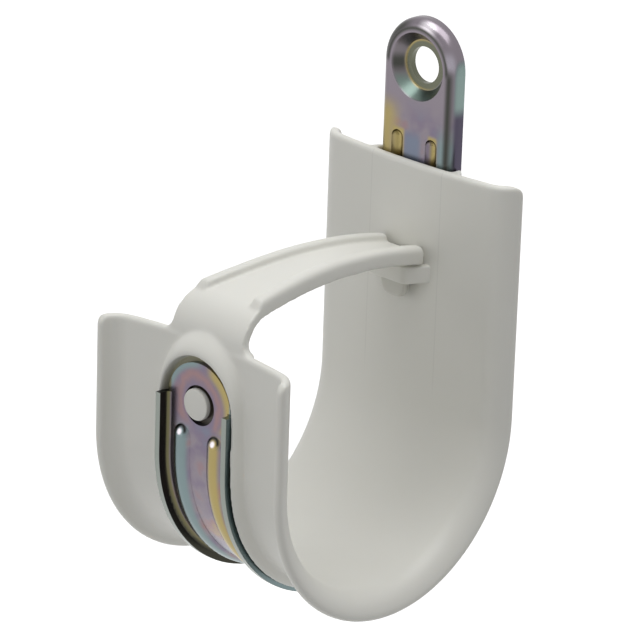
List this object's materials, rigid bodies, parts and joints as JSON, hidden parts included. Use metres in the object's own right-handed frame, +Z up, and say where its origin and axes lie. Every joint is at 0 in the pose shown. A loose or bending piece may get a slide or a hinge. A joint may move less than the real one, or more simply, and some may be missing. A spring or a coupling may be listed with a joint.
{
  "type": "cable j-hook",
  "caption": "J-shaped pressed steel strap with a wide moulded saddle and a snap-over retainer arm, screwed to a wall or bracket to carry bundled cables.",
  "frame": {"origin": "centre of the mounting hole, on the plane of the strap's back that bears on the wall", "axes": "+X across the hook along the cables, +Y into the wall, +Z up"},
  "size_m": [0.0476, 0.0642, 0.1072],
  "materials": {
    "zinc_steel": "iridescent yellow passivated zinc over pressed steel",
    "moulded_plastic": "satin off-white moulding"
  },
  "bodies": {
    "hook": {"steel_strap": "zinc_steel", "saddle": "moulded_plastic"},
    "retainer": {"retainer_arm": "moulded_plastic"}
  },
  "joints": [
    {"name": "retainer_flex", "type": "hinge", "parent": "hook", "child": "retainer", "pos_m": [0, -0.05741, -0.03925], "axis": [1, 0, 0], "range_deg": [0, 35], "stiffness_Nm_per_rad": 0.6}
  ]
}
